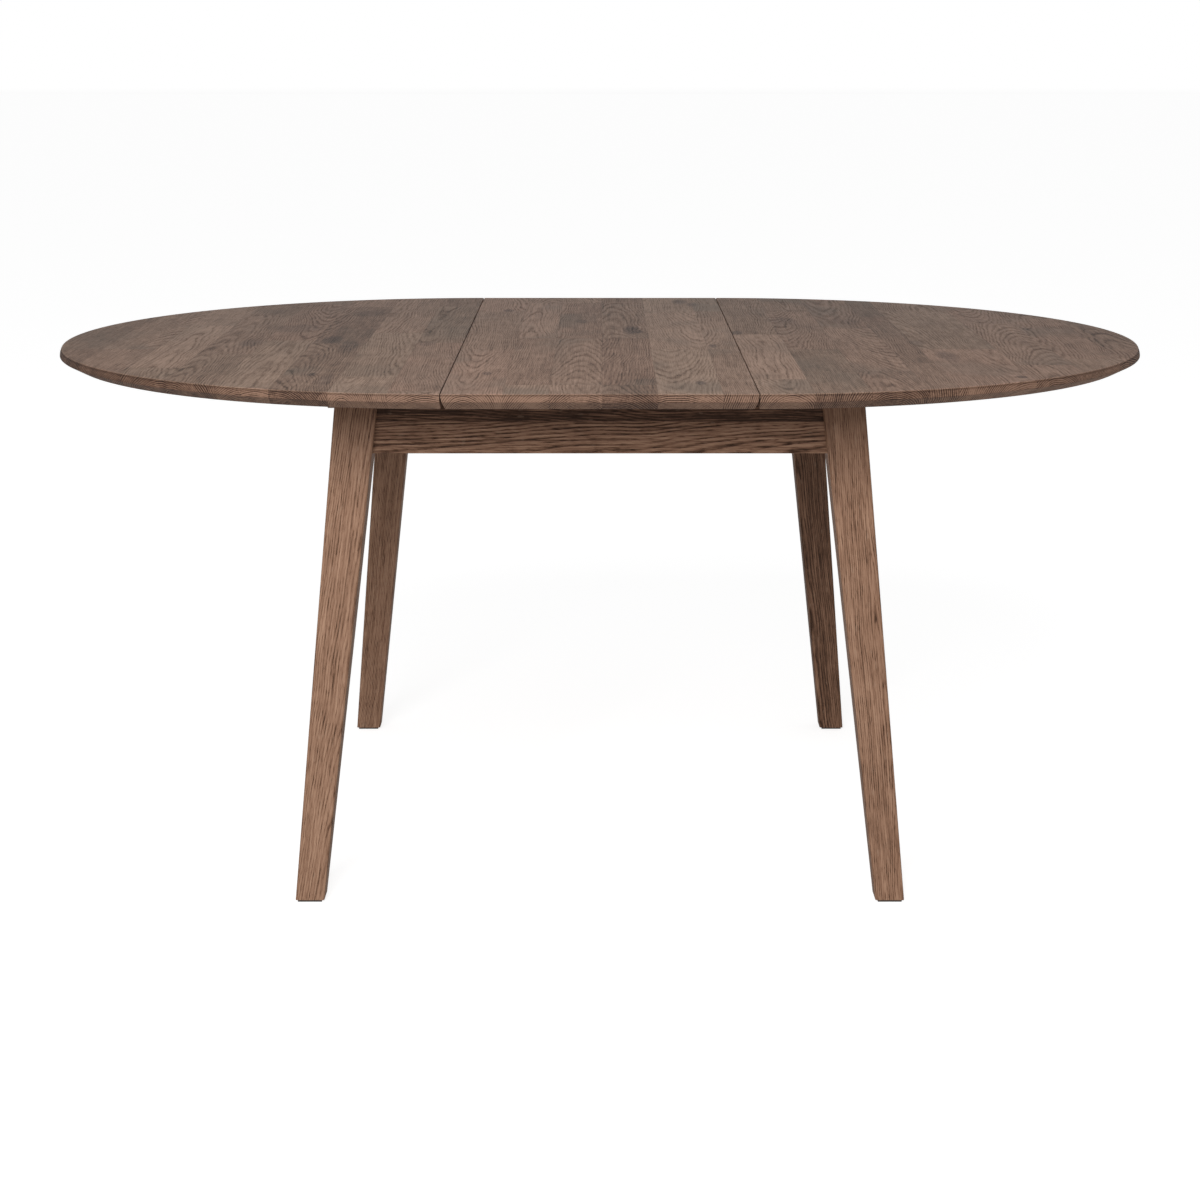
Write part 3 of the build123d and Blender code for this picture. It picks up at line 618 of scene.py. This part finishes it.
beech_lengthwise = beech("beech_lengthwise", lambda x, y, z: (y, x, z))
beech_crosswise = beech("beech_crosswise", lambda x, y, z: (x, y, z), 0.94)
dress(beech_lengthwise, "guide_rail_front", "guide_rail_back")
dress(beech_crosswise, "cross_rail_left", "cross_rail_centre", "cross_rail_right")
dress(zinc_plate, "guide_rail_screws")
pad_white = moulded("pad_polyethylene", (0.70, 0.69, 0.66), 0.42, 0.05)
dress(pad_white, "slide_pads", "travel_stops", "stop_pegs_left", "stop_pegs_right")


# ---- Pinion and racks ----------------------------------------------------------------------------
# A black nylon pinion turns on a steel axle in the middle cross rail. It meshes with a
# rack on each half, so that the halves always draw out by the same amount.

dress(moulded("nylon_black", (0.035, 0.036, 0.038), 0.40, 0.30), "pinion", "pinion_spacer")
dress(moulded("nylon_natural", (0.68, 0.64, 0.55), 0.38, 0.06), "rack_left", "rack_right")
dress(zinc("turned_steel", 0.62), "pinion_axle", "axle_nut", "rack_screw_left", "rack_screw_right")


# ---- Runners, cleats and battens -------------------------------------------------------------------
# Two grooved beech runners and a cleat are screwed under each half, and four battens
# under the leaf keep its boards flat and rest on the runners.

for end in ("left", "right"):
    dress(beech_lengthwise, f"runner_{end}_front", f"runner_{end}_back")
    dress(beech_crosswise, f"cleat_{end}")
    dress(zinc_plate, f"runner_screws_{end}", f"cleat_screws_{end}")
for row in ("front", "inner_front", "inner_back", "back"):
    dress(beech_lengthwise, f"leaf_batten_{row}")
dress(zinc_plate, "leaf_batten_screws")


# ---- Table top: half-round boards and the leaf ---------------------------------------------------
# Boards of oak glued side by side, with the grain front to back, then turned to a half
# round and given a leaning edge over a wide under-bevel. The leaf is the same, straight,
# and its two meeting edges lean in below so that it lifts out.

HEIGHT = 0.750
THICKNESS = 0.023
RADIUS = 0.612
SEAM = 0.2075             # from the middle to the middle of each seam
RIM_NOSE = 0.011          # the widest line of the edge lies this far below the surface
RIM_LEAN = 0.003
RIM_UNDERCUT = 0.023
RIM_CORNERS = (
    (0.0, 0.0),
    (RIM_LEAN, 0.0),
    (RIM_LEAN / 4, RIM_NOSE / 2),
    (0.0, RIM_NOSE),
    (RIM_UNDERCUT, THICKNESS),
    (0.0, THICKNESS),
)
RIM_EASE = (0.0, 0.0014, 0.0025, 0.0009, 0.0020, 0.0)
TURN_STEPS = 192
ARRIS = 0.001
LAND = 0.0025             # upright part of the leaf's meeting edges
BEVEL_SLOPE = 4.0         # below it they lean in by 1 in this


def rim_profile():
    """The edge's section from the middle of the surface round to the middle of the
    underside, as (distance out, height)."""
    corners = np.array([(RADIUS - inset, HEIGHT - drop) for inset, drop in RIM_CORNERS])
    corners[[0, -1], 0] = 0.0
    return eased(corners, RIM_EASE, closed=False)


def turned_board(end, x_sign):
    """A disc turned about the seam's middle, (rho cos a, rho sin a, z), cut at its seam
    edge and along the two small arrises there."""
    rho, z = rim_profile().T
    angle = np.linspace(0, 2 * np.pi, TURN_STEPS, endpoint=False)[:, None]
    x = x_sign * SEAM + rho * np.cos(angle)
    y = rho * np.sin(angle)
    rows = np.stack([x, y, np.broadcast_to(z, x.shape)], axis=-1)
    count = len(rho)
    index = np.arange(TURN_STEPS * count).reshape(TURN_STEPS, count)
    after = np.roll(index, -1, axis=0)
    quads = np.stack([index[:, :-1], index[:, 1:], after[:, 1:], after[:, :-1]], axis=-1)
    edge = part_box(f"top_half_{end}")[1 if x_sign < 0 else 0].x
    cuts = [((edge, 0, 0), (-x_sign, 0, 0))]
    cuts += [((edge + x_sign * ARRIS, 0, HEIGHT), (-x_sign, 0, 1))]
    cuts += [((edge + x_sign * ARRIS, 0, HEIGHT - THICKNESS), (-x_sign, 0, -1))]
    node = f"top_half_{end}"
    faces = quads.reshape(-1, 4).tolist()
    return finished_piece(f"{node}_boards", rows.reshape(-1, 3), faces, f"{end}_half", node, cuts)


def leaf_board():
    """The edge's section on both long ends, carried straight along X, and cut on each
    side by an arris, an upright land and a back-bevel."""
    profile = rim_profile()
    outline = np.concatenate([profile[1:-1] * (-1, 1), profile[1:-1][::-1]])
    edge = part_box("centre_leaf")[1].x
    stations = np.linspace(-edge, edge, 3)
    rows = np.array([np.column_stack([np.full(len(outline), x), outline]) for x in stations])
    points, faces = skin(rows)
    cuts = []
    for side in (-1, 1):
        cuts += [((side * (edge - ARRIS), 0, HEIGHT), (side, 0, 1))]
        cuts += [((side * edge, 0, HEIGHT - LAND), (side * BEVEL_SLOPE, 0, -1))]
    return finished_piece("centre_leaf_boards", points, faces, "leaf", "centre_leaf", cuts)


TOP_RING = 0.0026         # a year of growth
STAVE_LENGTH = 0.52
BOARD_WIDTH = 0.080       # of the boards at the two ends of a row
ROW_SEED = 9.0            # the seed's step from one row of boards to the next
PATCH_RATES = (9.0, 4.0)
FIGURE_RATES = (48.0, 26.0)
GREY_RATES = (7.0, 4.0)
SPECK_RATES = (260.0, 70.0)


def top_oak(name, joints, ends, tones_front, tones_back, knots, seed_shift):
    """The same oak on the surface, drawn cooler and greyer than the edge: that tint is a
    painted sheen of reflected light over the oak's own colour. joints are the X of the
    glue lines, ends the Y where a board meets the next one in its row, and the tones the
    lightness of the boards in front of and behind that end. knots are (x, y, half width,
    half length, strength)."""
    finish = Finish(name)
    x, y, z = finish.split(finish.node("ShaderNodeTexCoord", output=3))
    masks = [x > joint for joint in joints]

    def by_board(values):
        """A value for each row of boards: the first, plus every change that x is past."""
        total = values[0]
        for mask, before, after in zip(masks, values, values[1:]):
            total = mask * (after - before) + total
        return total

    count = len(joints) + 1
    row = by_board(list(range(count)))
    stave_place = (y - by_board(ends)) / STAVE_LENGTH
    behind = stave_place > 0.0
    stave = stave_place.apply("FLOOR")
    board = row * ROW_SEED + stave + seed_shift
    borders = (joints[0] - BOARD_WIDTH, *joints, joints[-1] + BOARD_WIDTH)
    middles = [(low + high) / 2 for low, high in zip(borders, borders[1:])]
    half_widths = [(high - low) / 2 for low, high in zip(borders, borders[1:])]
    bulge = 0.0
    stain = 0.0

    def cloud(rates, board_rate, detail):
        """Noise by its cycles a metre along X and Y, different from board to board."""
        return finish.noise(finish.join(x * rates[0], y * rates[1], board * board_rate), 1.0, detail)

    for knot_x, knot_y, half_width, half_length, strength in knots:
        u = (x - knot_x) / half_width
        v = (y - knot_y) / half_length
        q = u * u + v * v
        bulge = 1.0 / (1.0 + q * 0.5) * (0.006 * strength) + bulge
        stain = (1.0 - finish.step(q, 0.1, 1.6)) * strength + stain
    surface = finish.step(z, HEIGHT - 0.0016, HEIGHT - 0.0004)
    rings = 1.15 - surface * 0.72
    fibres = 0.90 + surface * 0.20
    across = x - by_board(middles)
    glue_gap = by_board(half_widths) - across.apply("ABSOLUTE")
    end_gap = (stave_place - stave - 0.5).apply("ABSOLUTE") * -STAVE_LENGTH + STAVE_LENGTH / 2
    glue_line = 1.0 - finish.step(glue_gap.apply("MINIMUM", end_gap), 0.0002, 0.0008)
    grain = (across, y, z - HEIGHT)
    shade, ring, pore = oak(finish, grain, board, TOP_RING, rings, fibres, bulge)[:3]
    tone = by_board(tones_front) * (1.0 - behind) + by_board(tones_back) * behind
    patch = cloud(PATCH_RATES, 1.7, 3.0)
    figure = cloud(FIGURE_RATES, 1.3, 2.0)
    lot, hue, grey_lot = finish.chance(board + 40.7)
    shade = shade + tone * 1.35 - 0.03 + (patch - 0.5) * 0.36 + (figure - 0.5) * 0.34
    shade = shade + (lot - 0.5) * (0.34 - surface * 0.21) - glue_line * 0.12
    # From its nose up the edge is drawn darker, and darkest just below the arris.
    arris = finish.step(z, HEIGHT - 0.0045, HEIGHT - 0.0025) * 0.5
    nose = HEIGHT - RIM_NOSE
    upper_edge = (finish.step(z, nose - 0.0015, nose + 0.0005) * 0.5 + arris) * (1.0 - surface)
    # The surface's palette is cooler and greyer than the edge's: a painted sheen of reflected light laid
    # over the oak's own colour.
    oak_with_painted_sheen = finish.ramp(
        shade,
        (0.0, (0.066, 0.040, 0.027)),
        (0.30, (0.160, 0.101, 0.070)),
        (0.55, (0.272, 0.176, 0.124)),
        (1.0, (0.480, 0.330, 0.245)),
    )
    ruddy_with_painted_sheen = finish.mix(hue * 0.55, oak_with_painted_sheen, (1.08, 0.95, 0.95), "MULTIPLY")
    grey = finish.step(cloud(GREY_RATES, 0.9, 2.0), 0.48, 0.70)
    ruddy_with_painted_sheen = finish.mix(grey * (0.10 + grey_lot * 0.40), ruddy_with_painted_sheen, (0.150, 0.122, 0.096))
    warm = finish.ramp(
        shade,
        (0.0, (0.024, 0.010, 0.006)),
        (0.30, (0.074, 0.034, 0.020)),
        (0.55, (0.146, 0.076, 0.047)),
        (1.0, (0.370, 0.222, 0.150)),
    )
    # The surface takes the palette with the painted sheen; the edge and the underside take the plain
    # warm one.
    colour = finish.mix(surface, warm, ruddy_with_painted_sheen)
    colour = finish.mix(upper_edge, colour, (0.50, 0.46, 0.44), "MULTIPLY")
    speck = finish.step(cloud(SPECK_RATES, 1.0, 3.0), 0.35, 0.65)
    stain = stain.apply("MINIMUM", 1.0) * (0.55 + speck * 0.45)
    colour = finish.mix(stain, colour, (0.32, 0.33, 0.37), "MULTIPLY")
    roughness = 0.68 - surface * 0.18 + pore * 0.15 + ring * 0.08
    height = shade * 0.5 - pore * 0.8
    return finish.paint(colour, roughness, height, OAK_RELIEF, Specular_IOR_Level=0.35)


# X of the glue lines, Y of the end joints, the boards' lightness, and the knots.
LEAF_JOINTS = (-0.1265, -0.066, 0.0034, 0.0755, 0.1605)
LEAF_ENDS = (0.9, -0.004, -0.004, -0.004, 0.9, 0.9)
LEAF_TONES_FRONT = (0.08, 0.08, 0.06, -0.06, 0.15, 0.05)
LEAF_TONES_BACK = (0.04, 0.07, 0.02, 0.00, 0.12, 0.00)
LEAF_KNOTS = (
    (0.050, 0.110, 0.014, 0.060, 1.0),
    (0.062, 0.085, 0.008, 0.020, 0.9),
    (-0.030, 0.230, 0.010, 0.030, 0.6),
    (-0.155, 0.395, 0.010, 0.022, 0.9),
    (0.140, 0.540, 0.014, 0.040, 0.9),
    (0.160, 0.490, 0.010, 0.030, 0.7),
    (0.170, -0.100, 0.006, 0.022, 0.9),
    (0.135, -0.505, 0.007, 0.018, 0.9),
    (-0.155, -0.410, 0.007, 0.016, 0.8),
)
LEFT_JOINTS = (-0.660, -0.588, -0.511, -0.435, -0.355, -0.277)
LEFT_ENDS = (0.9, -0.35, 0.32, -0.03, 0.45, -0.45, -0.06)
LEFT_TONES_FRONT = (0.04, 0.06, -0.03, 0.05, -0.05, 0.08, 0.04)
LEFT_TONES_BACK = (0.02, 0.09, 0.01, 0.00, 0.00, 0.09, 0.00)
LEFT_KNOTS = (
    (-0.480, 0.130, 0.040, 0.055, 0.50),
    (-0.410, -0.020, 0.016, 0.050, 0.80),
    (-0.375, -0.110, 0.014, 0.070, 0.65),
    (-0.530, -0.060, 0.018, 0.050, 0.60),
    (-0.390, 0.350, 0.030, 0.050, 0.55),
    (-0.395, -0.420, 0.006, 0.016, 0.90),
    (-0.370, -0.470, 0.010, 0.060, 0.50),
    (-0.262, -0.070, 0.014, 0.030, 0.50),
)
RIGHT_JOINTS = (0.280, 0.355, 0.432, 0.475, 0.590, 0.668, 0.750)
RIGHT_ENDS = (0.05, 0.9, 0.13, -0.30, 0.9, 0.20, -0.25, 0.9)
RIGHT_TONES_FRONT = (0.08, 0.02, 0.06, 0.00, 0.03, 0.01, 0.00, -0.04)
RIGHT_TONES_BACK = (-0.02, -0.03, 0.01, -0.05, 0.01, 0.04, 0.01, -0.05)
RIGHT_KNOTS = (
    (0.215, 0.070, 0.010, 0.028, 0.80),
    (0.300, 0.240, 0.026, 0.055, 0.50),
    (0.400, 0.230, 0.024, 0.045, 0.50),
    (0.480, -0.060, 0.012, 0.030, 0.50),
    (0.505, -0.220, 0.016, 0.060, 0.65),
    (0.575, -0.445, 0.008, 0.016, 0.90),
    (0.680, 0.120, 0.008, 0.020, 0.60),
)

halves = (
    ("left", -1, LEFT_JOINTS, LEFT_ENDS, LEFT_TONES_FRONT, LEFT_TONES_BACK, LEFT_KNOTS, 5.0),
    ("right", 1, RIGHT_JOINTS, RIGHT_ENDS, RIGHT_TONES_FRONT, RIGHT_TONES_BACK, RIGHT_KNOTS, 37.0),
)
for end, x_sign, joints, ends, front, back, knots, shift in halves:
    board = turned_board(end, x_sign)
    board.data.materials.append(top_oak(f"oak_half_{end}", joints, ends, front, back, knots, shift))

leaf = leaf_board()
leaf_finish = top_oak(
    "oak_leaf", LEAF_JOINTS, LEAF_ENDS, LEAF_TONES_FRONT, LEAF_TONES_BACK, LEAF_KNOTS, 71.0
)
leaf.data.materials.append(leaf_finish)
